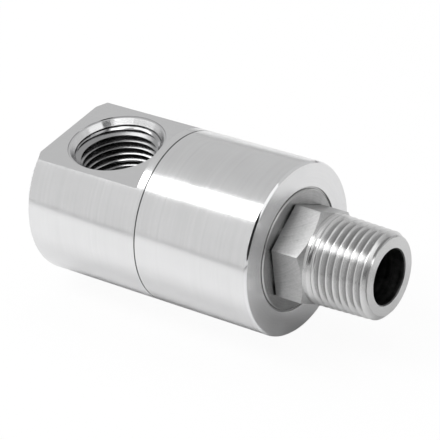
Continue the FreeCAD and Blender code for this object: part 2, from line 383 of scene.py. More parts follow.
print("streaks per millimetre", STREAKS_PER_MM, "share of cloud", CLOUD_SHARE)

# %% [markdown]
# The barrel and the rear half are bright fine-turned steel. The port's cone and thread and the bores are cut
# by other tools, so they have finishes of their own, and the bores' steel is painted nearly black as painted
# shade
# inside the holes. The flat isn't turned but milled, which leaves very fine straight lines along the housing:
# noise that is squeezed across and drawn out along it.

# %% Housing finishes
MILLED_LINES = (400.0, 9000.0, 400.0)
round_port = {"centre": (port_x, 0, 0), "axis": "Z"}
barrel_steel = turned_steel("barrel_steel", (0.76, 0.76, 0.765), 0.21, 0.8, tint=0.06)
face_steel = turned_steel("face_steel", (0.77, 0.77, 0.775), 0.22, 1.0, 9.0, 0.8, tint=0.10)
edge_steel = turned_steel("edge_steel", (0.80, 0.80, 0.81), 0.09, 0.3, tint=0.02)
port_steel = turned_steel("port_steel", (0.78, 0.78, 0.785), 0.20, 1.0, tint=0.02, **round_port)
band_steel = turned_steel("band_steel", (0.66, 0.66, 0.665), 0.16, 0.6, tint=0.02, **round_port)
tapped_steel = turned_steel("tapped_steel", (0.40, 0.40, 0.405), 0.18, 0.6, **round_port)
# Painted shade: the steel in the seam's slot and the mouth's gap is darker than the barrel's.
shaded_gap_steel = turned_steel("shaded_gap_steel", (0.42, 0.42, 0.42), 0.22, 0.4)
# Painted shade: the bores' steel is nearly black, for the dark inside of the holes.
shaded_bore_steel = turned_steel("shaded_bore_steel", (0.12, 0.12, 0.12), 0.34, 0.5, 3.0, 24.0, tint=0.8, cloud_scale=700.0)


def milled_steel():
    """The milled flat: noise squeezed into fine straight lines, even and satin."""
    material, tree, shader = new_material("milled_steel", (0.73, 0.73, 0.735), 0.24)
    place = node(tree, "TexCoord").outputs["Object"]
    lines = node(tree, "Mapping", {"Scale": MILLED_LINES}, {"Vector": place}).outputs[0]
    grain = noise_of(tree, lines, 1.0, 3.0)
    tinted(tree, shader, spread(tree, grain, 0.97, 1.015))
    bumped(tree, shader, grain, 0.5)
    return material


flat_steel = milled_steel()
print("the flat's finish is", flat_steel.name, "and the port's is", port_steel.name)

# %% [markdown]
# The front half of the housing is a plain barrel. Its mouth is bored out for the shield, and a lip behind the
# mouth keeps the bearing in. The front edge is chamfered, and the back edge has half of the fine slot that
# marks the joint between the halves. The steel in that slot and in the gap round the shield is painted
# darker, as painted shade between the parts. Which finish a row gets follows from where it lies, give or take
# a hair.

# %% Front half of the housing
HAIR = 0.01
seam_half = 0.17
seam_depth = 0.40
gap_depth = 0.35
rim_gap = 0.03
chamfer_length, chamfer_drop = 0.55, 0.42
BARREL, FACE, BORE, EDGE, GAP = range(5)
front_outline = eased([
    (seam, bearing_r),
    (seam, body_r - seam_depth),
    (seam + seam_half, body_r - seam_depth),
    (seam + seam_half, body_r, 0.06),
    (front_face - chamfer_length, body_r, 0.08),
    (front_face, body_r - chamfer_drop, 0.08),
    (front_face, mouth_r, 0.12),
    (front_face - gap_depth, mouth_r),
    (front_face - gap_depth, shield_rim_r + rim_gap),
    (bearing_front, shield_rim_r + rim_gap),
    (bearing_front, bearing_r),
])
x, r = front_outline.T
in_mouth = (x < front_face - 5 * HAIR) & (r < bearing_r + 20 * HAIR)
front_rows = np.where((x > front_face - 2 * HAIR) & (r < body_r - chamfer_drop + 2 * HAIR), FACE, BARREL)
front_rows[(x > front_face - chamfer_length - HAIR) & (r > body_r - 0.9 * chamfer_drop)] = EDGE
front_rows[in_mouth] = BORE
in_slot = (x < seam + seam_half + HAIR) & (r > body_r - seam_depth - HAIR)
front_rows[in_slot & (r < body_r - 5 * HAIR)] = GAP
front_rows[in_mouth & (x > front_face - gap_depth - HAIR) & (r > shield_rim_r + 10 * HAIR)] = GAP
piece_from("front_barrel", mesh_from([turned(front_outline, 360)], [front_rows]), "front_housing",
           [barrel_steel, face_steel, shaded_bore_steel, edge_steel, shaded_gap_steel])

# %% [markdown]
# A pipe thread is one groove wound round a cone. It could be faked by a stack of rings, but the run-out at
# its ends would be wrong and it wouldn't screw into anything.
# So each row of the grid follows the helix: from column to column it climbs by the same small step, and after
# a full turn it has climbed by one pitch and falls on the row one turn further on.
# The rows sit on the corners of the thread form, so crests and flanks stay crisp at any size.

# %% Pipe thread form
PITCH = 25.4 / 14
TAPER = 1 / 32
CREST = 0.11
ROOT = 0.05
FLANK = math.radians(30)
DEPTH = (1 - CREST - ROOT) * PITCH / 2 / math.tan(FLANK)


def form_phases():
    """Places within one pitch from the middle of a crest: crest edges, points down each flank, root edges."""
    down = np.linspace(CREST / 2, 0.5 - ROOT / 2, 5)
    return np.concatenate([[0.0], down, [0.5], 1 - down[::-1]])


def form_height(phase):
    """1 on the crest, 0 in the root and a straight line between, by the distance from the nearest crest."""
    away = np.abs(phase - np.round(phase))
    return np.clip((0.5 - ROOT / 2 - away) / (0.5 - ROOT / 2 - CREST / 2), 0, 1)


def helix_rows(start, end, crest_at, angle):
    """Stations along the axis for each row and column: crest_at + PITCH (turn + phase + angle / full turn),
    held between start and end. Also the height of the form there, from the held station."""
    first = math.floor((start - crest_at) / PITCH) - 2
    last = math.ceil((end - crest_at) / PITCH) + 2
    phase = (np.arange(first, last)[:, None] + form_phases()[None, :]).ravel()
    turn = angle / (2 * np.pi)
    along = np.clip(crest_at + PITCH * (phase[:, None] + turn[None, :]), start, end)
    return along, form_height((along - crest_at) / PITCH - turn[None, :])


def row_of(x, r, angle):
    """One row of (x, r), from numbers or from arrays with a value for each column."""
    return np.stack(np.broadcast_arrays(x, r, angle)[:2], -1)


print("pitch", round(PITCH, 3), "depth", round(DEPTH, 3), "rows in a turn", len(form_phases()))

# %% [markdown]
# The rotor is one piece from nose to tail. Its outline is turned like the rest, but on the hexagon each row
# is pulled out to the flats: at an angle A from the middle of a flat, a hexagon lies at flat radius / cos A.
# The front of a hexagon is chamfered by a cone, and where cone and flats meet there are the curved edges that
# every nut has. Those edges are a row of the grid too, so they are exact.

# %% Rotor: tail and hexagon
hex_flat_r = 10.79
hex_corner_angle = math.radians(26.94)
hex_chamfer = math.radians(30)
hex_back = shield_front + 0.32
foot_drop, foot_rise = 0.12, 0.07
corner_cut = 0.02
cone_gap = 0.02
clip_groove_r = shaft_r - 0.5
collar_r = 10.78
rotor_angle = hex_corner_angle + np.linspace(0, 2 * np.pi, 361)
from_middle = np.mod(rotor_angle - hex_corner_angle, math.pi / 3) - math.pi / 6
hex_corner_r = hex_flat_r / math.cos(math.pi / 6)
hex_r = np.minimum(hex_flat_r / np.cos(from_middle), hex_corner_r - corner_cut)
hex_edge_x = hex_front - cone_gap - (hex_r - collar_r) * math.tan(hex_chamfer)
tail_outline = eased([
    (tail_end, fluid_r, 0.3), (tail_end, shaft_r, 0.3), (clip_back, shaft_r, 0.1), (clip_back, clip_groove_r),
    (clip_front, clip_groove_r), (clip_front, shaft_r, 0.1), (hex_back, shaft_r)])
tail_rows = [row_of(x, r, rotor_angle) for x, r in tail_outline]
hex_rows = [row_of(hex_back, hex_r - foot_drop, rotor_angle),
            row_of(hex_back + foot_rise, hex_r, rotor_angle)]
hex_rows += [row_of(hex_back + share * (hex_edge_x - hex_back), hex_r, rotor_angle)
             for share in (0.33, 0.67, 0.985)]
hex_rows.append(row_of(hex_edge_x, hex_r - HAIR, rotor_angle))
print("rows on the tail", len(tail_rows), "and on the hexagon", len(hex_rows))

# %% [markdown]
# In front of the hexagon is a short collar with a fine groove, and then the thread runs out to the nose's
# end. Its crests lie on a cone. Towards the collar the thread gets shallower until it is gone, and at the tip
# a chamfer cuts the last turn down, so that the thread starts easily.

# %% Rotor: collar and thread
collar_end = -7.25
collar_groove = 0.12
groove_places = ((0.35, 0.0), (0.20, collar_groove), (0.05, collar_groove))
nose_end_r = 10.36
nose_chamfer = 1.05
tip_drop = 0.18
nose_tip_r = thread_mean_r - tip_drop - nose_chamfer
bore_ease = 0.25
first_crest = 5.2
run_out_pitches = 1.3
collar_rows = [row_of(hex_front, collar_r, rotor_angle)]
collar_rows += [row_of(collar_end - back, collar_r - drop, rotor_angle) for back, drop in groove_places]
thread_x, thread_form = helix_rows(collar_end, nose_end, first_crest, rotor_angle - math.pi)
run_out = np.clip((thread_x - collar_end) / (run_out_pitches * PITCH), 0, 1) ** 0.7
thread_r = nose_end_r + TAPER * (nose_end - thread_x) - DEPTH * (1 - thread_form) * run_out
thread_r = np.minimum(thread_r, nose_tip_r + nose_end - thread_x)
thread_rows = list(row_of(thread_x, thread_r, rotor_angle))
bore_outline = [(nose_end, fluid_r + bore_ease), (nose_end - bore_ease, fluid_r), (tail_end + 1.0, fluid_r)]
bore_rows = [row_of(x, r, rotor_angle) for x, r in bore_outline]
rotor_grid = swept(np.stack(tail_rows + hex_rows + collar_rows + thread_rows + bore_rows), rotor_angle)
print("rows on the thread", len(thread_rows), "turns in view", round((nose_end - collar_end) / PITCH, 1))

# %% [markdown]
# Each flat of the hexagon is milled across, and the cutter leaves faint arcs on it. The pattern needs to know
# the distance from the middle of the flat. That could come from a UV map, but the angle round the axis gives
# it too: folded to one sixth of a turn, it is the same on all six flats.
# The foot of the flats, by the shield, is painted darker: painted shade where the flats meet the shield.

# %% Hexagon finish
arc_middle_back, arc_middle_side = 6.0, 16.0
arc_lines_per_mm = 3.2
painted_shade_length, painted_foot_shade = 2.2, 0.68


def hexagon_finish():
    """Satin steel with arcs: noise that changes with the distance from a point off to one side of each flat,
    mixed half and half with fine grain, and darkened at the foot by painted shade."""
    material, tree, shader = new_material("hexagon_steel", (0.45, 0.45, 0.45), 0.34)
    place = node(tree, "TexCoord").outputs["Object"]
    x, y, z = node(tree, "SeparateXYZ", links={0: place}).outputs
    from_corner = math_of(tree, "SUBTRACT", math_of(tree, "ARCTAN2", z, y), hex_corner_angle)
    sixth = math_of(tree, "FLOORED_MODULO", from_corner, math.pi / 3)
    folded = math_of(tree, "SUBTRACT", sixth, math.pi / 6)
    across = math_of(tree, "MULTIPLY", math_of(tree, "TANGENT", folded), hex_flat_r * MM)
    far_x = math_of(tree, "SUBTRACT", x, (hex_back - arc_middle_back) * MM)
    far_y = math_of(tree, "ADD", across, arc_middle_side * MM)
    squares = math_of(tree, "ADD", math_of(tree, "MULTIPLY", far_x, far_x),
                      math_of(tree, "MULTIPLY", far_y, far_y))
    spot = node(tree, "CombineXYZ", links={0: math_of(tree, "SQRT", squares),
                                           1: math_of(tree, "MULTIPLY", across, 0.06)}).outputs[0]
    arcs = noise_of(tree, spot, arc_lines_per_mm / MM, 3.0)
    grain = noise_of(tree, place, 1800.0, 3.0)
    mixed = math_of(tree, "MULTIPLY_ADD", grain, 0.5, math_of(tree, "MULTIPLY", arcs, 0.5))
    tinted(tree, shader, spread(tree, mixed, 0.78, 1.11))
    # Painted shade: the colour darkens towards the foot of the flats, by the shield.
    tinted(tree, shader, mapped(tree, x, hex_back * MM, (hex_back + painted_shade_length) * MM, painted_foot_shade, 1.0))
    tree.links.new(spread(tree, mixed, 0.26, 0.44), shader.inputs["Roughness"])
    bumped(tree, shader, arcs, 4.0)
    return material


hexagon_steel = hexagon_finish()
print("made", hexagon_steel.name, "with", len(hexagon_steel.node_tree.nodes), "nodes")

# %% [markdown]
# The thread and the collar are turned, so their light is smeared into one bright band along the nose.
# Thread roots are painted darker, as painted shade in the grooves. How deep a point lies is its distance
# under the line of the crests, which the radius and the place along the axis give, so the painted shade
# follows the groove wherever it goes.

# %% Rotor finishes
# Painted shade in the thread roots: between these depths the colour falls to the given share.
root_shade_from, root_shade_to, root_shade_factor = 0.1, 1.2, 0.74
nose_steel = turned_steel("nose_steel", (0.71, 0.71, 0.71), 0.23, 0.35, 5.0, 2.5, tint=0.16)
# The collar's steel is a darker copy of the thread's turned steel: painted shade on the collar.
shaded_collar_steel = turned_steel("shaded_collar_steel", (0.56, 0.56, 0.56), 0.22, 0.35, 5.0, 2.5)
nose_face_steel = turned_steel("nose_face_steel", (0.61, 0.61, 0.61), 0.24, 1.0, 8.0, 1.0)
shaft_steel = turned_steel("shaft_steel", (0.45, 0.45, 0.45), 0.15, 0.5)


def paint_root_shade(material):
    """Painted shade: multiplies the thread's colour by less, the deeper a point lies under the line of the
    crests.
    """
    tree = material.node_tree
    _, radius, along, _ = round_axis(tree)
    crest_line = math_of(tree, "MULTIPLY_ADD", along, -TAPER, (nose_end_r + TAPER * nose_end) * MM)
    deep = math_of(tree, "SUBTRACT", crest_line, radius)
    share = mapped(tree, deep, root_shade_from * MM, root_shade_to * MM, 1.0, root_shade_factor)
    tinted(tree, tree.nodes["Principled BSDF"], share)


paint_root_shade(nose_steel)
SHAFT, HEXAGON, THREAD, NOSE_FACE, NOSE_BORE, COLLAR = range(6)
row_counts = [(SHAFT, len(tail_rows)), (HEXAGON, len(hex_rows)), (COLLAR, len(collar_rows)),
              (THREAD, len(thread_rows) - 1), (NOSE_FACE, len(bore_rows) - 2), (NOSE_BORE, 3)]
rotor_finish = np.concatenate([np.full(count, finish) for finish, count in row_counts])
piece_from("rotor_body", mesh_from([rotor_grid], [rotor_finish]), "rotor",
           [shaft_steel, hexagon_steel, nose_steel, nose_face_steel, shaded_bore_steel, shaded_collar_steel], sharp=24.0)

# %% [markdown]
# The shield is a turned disc, pressed on the rotor, that hides the bearing. Its rim is chamfered, and its
# face is darker and blotchier than the housing's.

# %% Front shield
rim_chamfer, rim_length = 0.33, 0.25
shield_steel = turned_steel("shield_steel", (0.37, 0.37, 0.37), 0.23, 1.0, 7.0, 1.6, tint=0.34,
                            cloud_scale=450.0)
shield_edge_steel = turned_steel("shield_edge_steel", (0.45, 0.45, 0.45), 0.20, 0.6)
shield_outline = eased([
    (shield_back, shaft_r + 0.02), (shield_front, shaft_r + 0.02, 0.05),
    (shield_front, shield_rim_r - rim_chamfer, 0.05), (shield_front - rim_length, shield_rim_r, 0.08),
    (shield_back, shield_rim_r)])
shield_rows = np.where(shield_outline[:, 0] > shield_front - HAIR, 0, 1)
piece_from("front_shield_disc", mesh_from([turned(shield_outline, 300)], [shield_rows]), "front_shield",
           [shield_steel, shield_edge_steel])

# %% [markdown]
# The rear half is made as a machinist makes it. A bar is turned, with its spigot and the seal's cavity. Then
# a flat is milled, the port is bored and tapped, and the fluid's way is drilled through.
# Each tool is a closed surface of its own, and a Boolean modifier takes it out of the bar. Points worked out
# by hand along those cuts would do it too, but the drilled way breaks into the thread, and there the modifier
# is far simpler. The finish numbers travel with the faces, so each cut keeps its own tool's finish.

# %% Rear half: the bar
BAR, CAVITY, CONE, TAP, DRILLED, END, FLAT, BAND, SLOT = range(9)
rear_chamfer_length, rear_chamfer_drop = 1.51, 1.71
flange_thickness = 3.5
floor_gap = 0.3
slide_r = 9.05
slide_room = 0.65
gasket_length = 1.8
spigot_r = bearing_r - 0.05
gasket_r = spigot_r - 1.4
cavity_r = spigot_r - 2.6
cavity_floor = ring_face - flange_thickness - float_travel - floor_gap
well_r = slide_r + 1.6
well_floor = reach("backup_ring")[0]
slide_end = ring_end - slide_room
bar_outline = eased([
    (rear_face, 0.0), (rear_face, body_r - rear_chamfer_drop, 0.08),
    (rear_face + rear_chamfer_length, body_r, 0.08),
    (seam - seam_half, body_r, 0.06), (seam - seam_half, body_r - seam_depth), (seam, body_r - seam_depth),
    (seam, gasket_r), (seam + gasket_length, gasket_r), (seam + gasket_length, spigot_r),
    (spigot_end, spigot_r, 0.2), (spigot_end, cavity_r, 0.2), (cavity_floor, cavity_r),
    (cavity_floor, well_r), (well_floor, well_r), (well_floor, slide_r),
    (slide_end, slide_r), (slide_end, 0.0)])
x, r = bar_outline.T
bar_rows = np.where(x >= seam, CAVITY, BAR)
bar_rows[0] = END
bar_rows[(x > seam - seam_half - HAIR) & (r > body_r - seam_depth - HAIR) & (r < body_r - 5 * HAIR)] = SLOT
bar_mesh = mesh_from([turned(bar_outline, 240)], [bar_rows])
print("bar faces", len(bar_mesh.polygons), "cavity floor at", round(cavity_floor, 2))

# %% [markdown]
# The port's tool is the hollow of the port as a solid: a shallow recess at the mouth, a bright cone, the
# tapped thread, and a flat-bottomed drilling. It stands upright, so its grid is swept round X like the others
# and then its axes are exchanged.

# %% Rear half: the port's tool
port_columns = 240
port_root_r = 10.6
root_drop = 1.3
port_mouth_r = 11.9
band_r, band_drop = 11.4, 0.27
cone_end_r, cone_end_drop = 10.45, 1.55
cone_slope, cone_land = 1.2, 0.55
tap_drill_r = 9.1
tap_length = 13.8
tap_crest = 0.54
port_floor = -5.55
above_flat = 0.5
port_angle = np.linspace(0, 2 * np.pi, port_columns + 1)
thread_top, thread_low = flat_z - cone_end_drop, flat_z - tap_length
tap_z, tap_form = helix_rows(thread_low, thread_top, tap_crest, port_angle)
tap_r = port_root_r - TAPER * (flat_z - root_drop - tap_z) - DEPTH * tap_form
fade = np.clip((tap_z - thread_low) / PITCH, 0, 1)
tap_r = tap_drill_r + (np.maximum(tap_r, tap_drill_r) - tap_drill_r) * fade
tap_r = np.maximum(tap_r, cone_end_r - cone_slope * np.maximum(thread_top - tap_z - cone_land, 0))
mouth = [(flat_z + above_flat, 0.0), (flat_z + above_flat, port_mouth_r), (flat_z, port_mouth_r),
         (flat_z - 0.20, port_mouth_r - 0.10), (flat_z - band_drop, band_r)]
drilling = [(port_floor + 0.3, tap_drill_r), (port_floor, tap_drill_r - 0.3), (port_floor, 0.0)]
port_rows = [row_of(z, r, port_angle) for z, r in mouth]
port_rows += list(row_of(tap_z, tap_r, port_angle)[::-1])
port_rows += [row_of(z, r, port_angle) for z, r in drilling]
port_finish = [BAND, BAND, TAP, BAND, CONE] + [TAP] * len(tap_z) + [DRILLED] * len(drilling)
port_grid = swept(np.stack(port_rows), port_angle)[..., [1, 2, 0]] + [port_x, 0, 0]
port_mesh = mesh_from([port_grid], [port_finish])
print("port tool faces", len(port_mesh.polygons), "thread down to", round(thread_low, 2))

# %% [markdown]
# Two plain tools are left, a block that mills the flat and a rod that drills the fluid's way.
# A Boolean leaves a few edges shorter than a thousandth of a millimetre, where a tool's edge nearly meets an
# edge of the bar. They can't be seen, but they would trouble whoever prints or measures the mesh, so they are
# dissolved after each cut.

# %% Rear half: the cuts
SHORTEST_EDGE = 1e-6
flat_end = seam - 2.25


def block_tool(low, high, finishes):
    """A block from its lowest to its highest corner, as a grid of four rows: the middle of its bottom, the
    bottom's corners, the top's corners and the middle of its top."""
    loop = np.array([[0, 0], [1, 0], [1, 1], [0, 1], [0, 0]])
    shares = [np.full((5, 3), [0.5, 0.5, 0]), np.column_stack([loop, np.zeros(5)]),
              np.column_stack([loop, np.ones(5)]), np.full((5, 3), [0.5, 0.5, 1])]
    return mesh_from([np.array(low) + (np.array(high) - low) * np.stack(shares)], [finishes])


def cut(mesh, *tools):
    """Takes each tool's space out of the mesh, dissolves the shortest edges and gives what is left."""
    collection = bpy.context.scene.collection.objects
    solid = bpy.data.objects.new("cut_work", mesh)
    cutters = [bpy.data.objects.new("cut_tool", tool) for tool in tools]
    for spare in [solid, *cutters]:
        collection.link(spare)
    for cutter in cutters:
        step = solid.modifiers.new("cut", "BOOLEAN")
        step.operation = "DIFFERENCE"
        step.solver = "EXACT"
        step.object = cutter
    bpy.context.view_layer.update()
    left = bpy.data.meshes.new_from_object(solid.evaluated_get(bpy.context.evaluated_depsgraph_get()))
    for spare in [solid, *cutters]:
        bpy.data.objects.remove(spare)
    work = bmesh.new()
    work.from_mesh(left)
    bmesh.ops.dissolve_degenerate(work, dist=SHORTEST_EDGE, edges=work.edges[:])
    work.to_mesh(left)
    work.free()
    return left


flat_mesh = block_tool([rear_face - 2, -body_r - 2, flat_z], [flat_end, body_r + 2, body_r + 2],
                       [FLAT, BAR, FLAT, FLAT])
way_outline = [(port_x, 0.0), (port_x, fluid_r), (slide_end + 0.5, fluid_r), (slide_end + 0.5, 0.0)]
way_mesh = mesh_from([turned(way_outline, 120)], [[DRILLED] * 4])
rear_finishes = [barrel_steel, shaded_bore_steel, port_steel, tapped_steel, shaded_bore_steel, face_steel, flat_steel,
                 band_steel, shaded_gap_steel]
for mesh in (bar_mesh, port_mesh, way_mesh, flat_mesh):
    for material in rear_finishes:
        mesh.materials.append(material)
rear_mesh = cut(bar_mesh, flat_mesh, port_mesh, way_mesh)
piece_from("rear_half", rear_mesh, "rear_housing", rear_finishes, sharp=18.0)

# %% [markdown]
# Inside are rubber seals, a brass cage for each row of balls, a carbide seat and a graphite ring that runs on
# it. Apart from the bearing steel, one helper makes them all: fine grain in tint, gloss and height.

# %% Finishes of the inner pieces
def plain_finish(name, colour, roughness, metallic, grain, micron, tint=0.08):
    """A finish with fine grain: small changes of tint, gloss and height."""
    material, tree, shader = new_material(name, colour, roughness, metallic)
    noise = noise_of(tree, node(tree, "TexCoord").outputs["Object"], grain, 6.0)
    tinted(tree, shader, spread(tree, noise, 1 - tint, 1 + tint / 2))
    tree.links.new(spread(tree, noise, roughness * 0.8, roughness * 1.25), shader.inputs["Roughness"])
    bumped(tree, shader, noise, micron)
    return material


plain_values = {
    "seal_rubber": ((0.02, 0.02, 0.02), 0.55, 0.0, 900.0, 4.0),
    "ball_steel": ((0.66, 0.66, 0.67), 0.05, 1.0, 400.0, 0.1, 0.02),
    "cage_brass": ((0.62, 0.42, 0.16), 0.28, 1.0, 500.0, 1.5),
    "spring_steel": ((0.20, 0.20, 0.21), 0.35, 1.0, 700.0, 1.0),
    "seat_carbide": ((0.035, 0.036, 0.04), 0.20, 0.0, 1500.0, 0.3),
    "ring_graphite": ((0.022, 0.022, 0.023), 0.42, 0.0, 1500.0, 1.0),
    "backup_ptfe": ((0.78, 0.77, 0.73), 0.40, 0.0, 800.0, 1.0, 0.03),
}
inner_finishes = {name: plain_finish(name, *values) for name, values in plain_values.items()}
inner_finishes["bearing_steel"] = turned_steel("bearing_steel", (0.55, 0.55, 0.56), 0.12, 0.5)


def inner_piece(name, mesh, node_name):
    """A piece with the one finish that the record gives its node."""
    return piece_from(name, mesh, node_name, [inner_finishes[slot_of[node_name]]])


print("inner finishes", sorted(inner_finishes))

# %% [markdown]
# The balls can't be seen from outside, but they are what the rotor runs on, so they are round. The solids
# have eight-sided ones, which is enough to collide with. A ball is half a circle turned round the line
# through its middle, and ten of them stand in a ring.

# %% Ball rows
balls_in_row = 10
ball_r = 1.75
row_offset = 2.0
ball_ring_r = (shaft_r + bearing_r) / 2
bearing_middle = (bearing_back + bearing_front) / 2
row_middles = {"front": bearing_middle + row_offset, "rear": bearing_middle - row_offset}
meridian = np.linspace(0, np.pi, 25)


def ball_grids(middle, r):
    """Ten balls: each is (middle + r cos t, r sin t) turned round X, then moved out to the ring's radius at
    its own angle, counted from the top."""
    ball = turned(np.column_stack([middle + r * np.cos(meridian), r * np.sin(meridian)]), 36)
    angle = 2 * np.pi * np.arange(balls_in_row) / balls_in_row
    return [ball + [0, ball_ring_r * math.sin(a), ball_ring_r * math.cos(a)] for a in angle]


for row, middle in row_middles.items():
    inner_piece(row + "_ball_set", mesh_from(ball_grids(middle, ball_r)), row + "_ball_row")

# %% [markdown]
# A wave spring presses the seal ring forward: a ring of thin spring sheet, bent into three waves. The
# sheet is a rounded oblong carried round the axis, pushed to and fro by a cosine.

# %% Wave spring
spring_back, spring_front, spring_r = reach("wave_spring")
spring_wall = 1.3
spring_sheet = 0.3
spring_waves = 3
spring_gap = 0.02
spring_columns = 240
spring_height = spring_front - spring_back
spring_swing = (spring_height - spring_sheet - spring_gap) / 2
sheet_edges = [(-spring_sheet / 2, spring_r - spring_wall, 0.08), (-spring_sheet / 2, spring_r, 0.08),
               (spring_sheet / 2, spring_r, 0.08), (spring_sheet / 2, spring_r - spring_wall, 0.08)]
spring_grid = turned(eased(sheet_edges), spring_columns)
from_top = np.pi / 2 - np.linspace(0, 2 * np.pi, spring_columns + 1)
spring_grid[..., 0] += spring_back + (spring_height - spring_gap) / 2
spring_grid[..., 0] += spring_swing * np.cos(spring_waves * from_top)
spring = inner_piece("spring_wave_ring", mesh_from([spring_grid]), "wave_spring")
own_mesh(spring)
print("the spring gives way by", float_travel, "of", round(spring_height, 2))

# %% [markdown]
# The rings inside are turned as well, and their solids have few sides, so here they are outlines again.
# The bearing's two rings get what makes a bearing run: round grooves a hair wider than the balls, with low
# lands between them, and a step at each end for the rubber seal. Both are one formula with a plus or a minus.

# %% Inner rings
land_r = bearing_r - 1.2
dust_seal_r = 11.25
seat_r = 8.8
race_r = 1.80
land_step = 4.45
plain_rings = {
    "housing_gasket": (gasket_r, bearing_r, 0.25),
    "front_dust_seal": (dust_seal_r, land_r, 0.08),
    "rear_dust_seal": (dust_seal_r, land_r, 0.08),
    "rotating_seat": (fluid_r, seat_r, 0.15),
    "seal_packing": (slide_r, well_r, 0.20),
    "backup_ring": (slide_r, well_r, 0.08),
    "spring_washer": (slide_r, well_r, 0.08),
}


def square_outline(node_name, inner_r, outer_r, ease):
    """An outline with four eased corners, between the ends of a node's box."""
    back, front, _ = reach(node_name)
    return eased([(back, inner_r, ease), (back, outer_r, ease),
                  (front, outer_r, ease), (front, inner_r, ease)])


def race_outline(node_name, sign, wall_r):
    """The outline of a bearing ring. The balls' side has for each row the points (row + race radius sin t,
    ball ring + sign x race radius cos t), for t from -60 to 60 degrees, where the arc meets the land, and a
    step outwards at each end. The other side is a plain wall."""
    back, front, _ = reach(node_name)
    t = np.radians(np.linspace(-60, 60, 17))
    groove_r = ball_ring_r + sign * race_r * np.cos(t)
    arcs = [np.column_stack([row_middles[row] + race_r * np.sin(t), groove_r]) for row in ("rear", "front")]
    land, floor = ball_ring_r + sign * race_r / 2, ball_ring_r + sign * race_r
    start = [(bearing_middle - land_step, floor), (bearing_middle - land_step, land)]
    end = [(bearing_middle + land_step, land), (bearing_middle + land_step, floor)]
    wall = eased([(front, floor), (front, wall_r, 0.3), (back, wall_r, 0.3), (back, floor)])
    return np.concatenate([start, *arcs, end, wall])


ring_outlines = {name: square_outline(name, *sizes) for name, sizes in plain_rings.items()}
ring_outlines["bearing_outer_ring"] = race_outline("bearing_outer_ring", 1, bearing_r)
ring_outlines["bearing_inner_ring"] = race_outline("bearing_inner_ring", -1, shaft_r)
for node_name, outline in ring_outlines.items():
    inner_piece(node_name + "_turned", mesh_from([turned(outline, 180)]), node_name)

# %% [markdown]
# A crown cage keeps the balls of a row apart: a brass ring with a round pocket for each ball, open on the
# side towards the other row. The ring is turned, and slightly larger balls cut the pockets.

# %% Cages
cage_wall = 1.0
pocket_r = 1.90
for row, middle in row_middles.items():
    band = square_outline(row + "_cage", ball_ring_r - cage_wall / 2, ball_ring_r + cage_wall / 2, 0.1)
    crown = cut(mesh_from([turned(band, 240)]), mesh_from(ball_grids(middle, pocket_r)))
    inner_piece(row + "_cage_crown", crown, row + "_cage")

# %% [markdown]
# The floating ring slides in the housing and must not turn, so two keys stand in notches of its flange.
# Its front has a raised nose, and only that runs on the carbide seat. The outline is turned, and then the
# notches are cut by two blocks, as the flat of the rear half was.

# %% Floating ring
flange_r = 12.3
tail_r = 9.0
flange_back = spring_front
seal_nose_height = 0.5
nose_slope = 0.2
notch_half = 0.90
notch_floor = 11.0
ring_outline = eased([
    (ring_face, fluid_r), (ring_face, seat_r - nose_slope, 0.08),
    (ring_face - seal_nose_height, seat_r + nose_slope), (ring_face - seal_nose_height, flange_r, 0.2),
    (flange_back, flange_r, 0.2), (flange_back, tail_r), (ring_end, tail_r, 0.15), (ring_end, fluid_r, 0.15)])
notches = [block_tool([flange_back - 1, -notch_half, low], [ring_face + 1, notch_half, high], [0] * 4)
           for low, high in ((notch_floor, flange_r + 1), (-flange_r - 1, -notch_floor))]
inner_piece("floating_ring_turned", cut(mesh_from([turned(ring_outline, 180)]), *notches), "floating_ring")

# %% [markdown]
# The keys and the circlip keep their solids, whose shapes are right, and get their real finish.

# %% Finishes on the solids that stay
for name, cad in frame["nodes"].items():
    if cad.hide_render:
        continue
    cad.data.materials.clear()
    cad.data.materials.append(inner_finishes[slot_of[name]])
    print("dressed", name, "with", slot_of[name])

# %% [markdown]
# The camera stands where the photographer's stood: in front, above and to the right of the axis, with a long
# lens. Its place was worked out from the edges of the housing, the port and the hexagon.

# %% Camera
view_azimuth = math.radians(40.48)
view_elevation = math.radians(34.31)
view_roll = math.radians(-8.94)
view_distance = 527.14
aim_right = -18.08
aim_up = 6.83
focal_pixels = 2283.48
picture_width = 440
sensor_width = 36.0

back = np.array([math.sin(view_azimuth) * math.cos(view_elevation),
                 -math.cos(view_azimuth) * math.cos(view_elevation), math.sin(view_elevation)])
level_right = np.cross([0, 0, 1], back)
level_right /= np.linalg.norm(level_right)
level_up = np.cross(back, level_right)
right = math.cos(view_roll) * level_right + math.sin(view_roll) * level_up
up = math.cos(view_roll) * level_up - math.sin(view_roll) * level_right
eye = np.array([front_face, 0, 0]) + back * view_distance + right * aim_right + up * aim_up
camera_data = bpy.data.cameras.new("camera")
camera_data.sensor_width = sensor_width
camera_data.lens = focal_pixels / picture_width * sensor_width
camera_data.clip_start = 0.01
camera_data.clip_end = 20
camera = bpy.data.objects.new("camera", camera_data)
bpy.context.scene.collection.objects.link(camera)
camera.matrix_world = Matrix(np.vstack([np.column_stack([right, up, back, eye * MM]), [0, 0, 0, 1]]).tolist())
bpy.context.scene.camera = camera
print("lens", round(camera_data.lens, 1), "eye", eye.round(1))

# %% [markdown]
# The union lies on a white table in a white tent. A white background could come from a lot of light, but that
# would wash out the steel. So both ask what kind of ray has come. To the camera they are white. The steel
# mirrors a light grey tent, and all other rays find it dim. The table is a real surface to those rays, and a
# little of it shows through its white too, which keeps the union's soft shadow.

